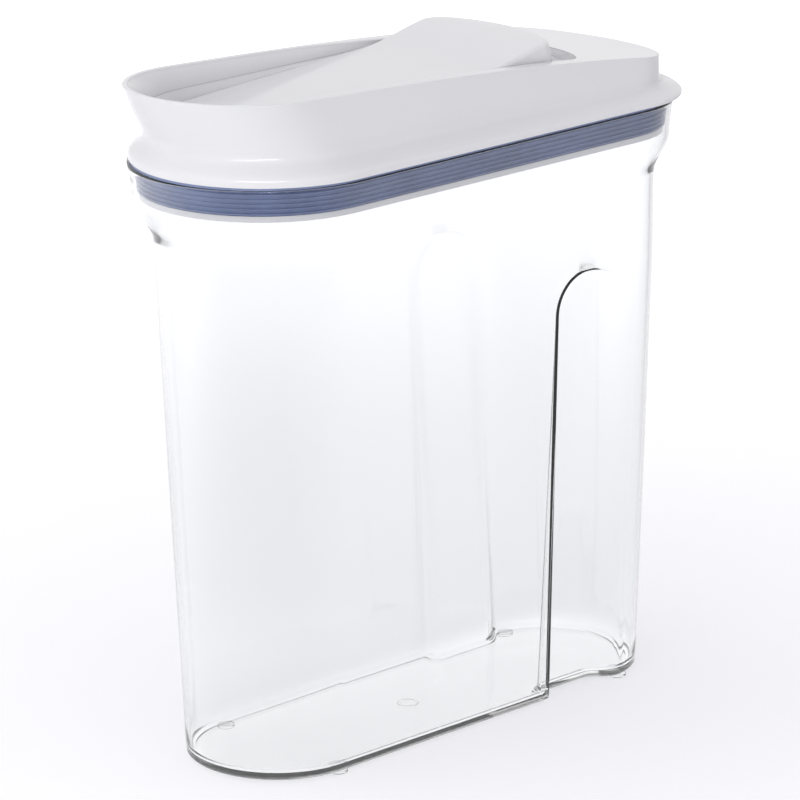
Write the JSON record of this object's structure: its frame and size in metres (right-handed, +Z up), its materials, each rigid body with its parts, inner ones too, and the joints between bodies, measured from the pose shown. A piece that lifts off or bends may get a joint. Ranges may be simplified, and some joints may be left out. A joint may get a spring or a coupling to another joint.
{
  "type": "cereal container with flip spout",
  "caption": "Clear tapered dry-food container with grip recesses, a press-in lid with a ribbed gasket, and a ramp-shaped flip cap over the pouring spout.",
  "frame": {"origin": "on the table, below the middle of the container's bounding box", "axes": "+Z up, the spout points to -Y, the width runs along X"},
  "size_m": [0.1104, 0.2695, 0.2837],
  "materials": {
    "clear_plastic": "clear, polished",
    "white_plastic": "smooth satin",
    "frame_plastic": "smooth satin",
    "gasket_rubber": "matte silicone",
    "cap_plastic": "smooth satin",
    "liner_plastic": "smooth satin",
    "spout_rubber": "matte silicone",
    "pin_steel": "ground"
  },
  "bodies": {
    "vessel": {"container_body": "clear_plastic"},
    "lid": {"lid_shell": "white_plastic", "lid_frame": "frame_plastic", "rim_gasket": "gasket_rubber", "hinge_pin": "pin_steel"},
    "cap": {"flip_cap": "cap_plastic", "cap_liner": "liner_plastic", "spout_gasket": "spout_rubber"}
  },
  "joints": [
    {"name": "lid_lift", "type": "slide", "parent": "vessel", "child": "lid", "axis": [0, 0, 1], "range_m": [0, 0.06]},
    {"name": "cap_hinge", "type": "hinge", "parent": "lid", "child": "cap", "pos_m": [0, 0.0558, 0.2701], "axis": [-1, 0, 0], "range_deg": [0, 95]}
  ]
}
